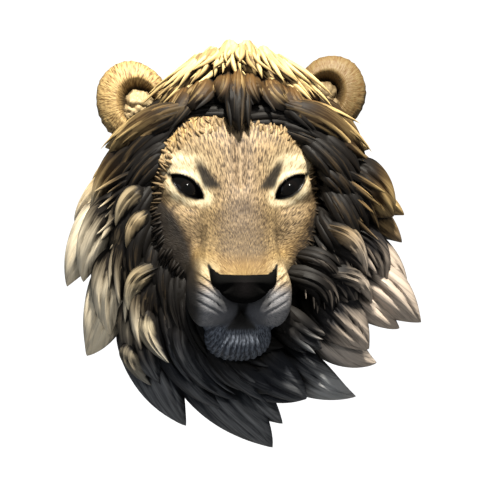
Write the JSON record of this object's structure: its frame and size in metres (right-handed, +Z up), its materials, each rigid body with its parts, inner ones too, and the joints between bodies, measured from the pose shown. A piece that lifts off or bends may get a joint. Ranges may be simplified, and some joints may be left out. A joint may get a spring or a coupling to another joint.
{
  "type": "animal wall sculpture",
  "caption": "Lion's head in high relief to hang on a wall: calm face, small round cupped ears and a mane of swept pointed locks, cast in one piece with a flat back and a keyhole pocket.",
  "frame": {"origin": "on the flat back, in the wall plane, behind the middle of the face", "axes": "+Y into the wall, so the nose points along -Y; +Z up; +X to the right of someone who faces it"},
  "size_m": [0.266, 0.1135, 0.3011],
  "materials": {
    "painted_resin": "painted by hand: sand and gold on the face, near black with cream and gold brushed over the raised strands on the mane, pale grey on muzzle and chin, gloss black on nose and eyes"
  },
  "bodies": {
    "root": {"lion_head": "painted_resin"}
  },
  "joints": []
}
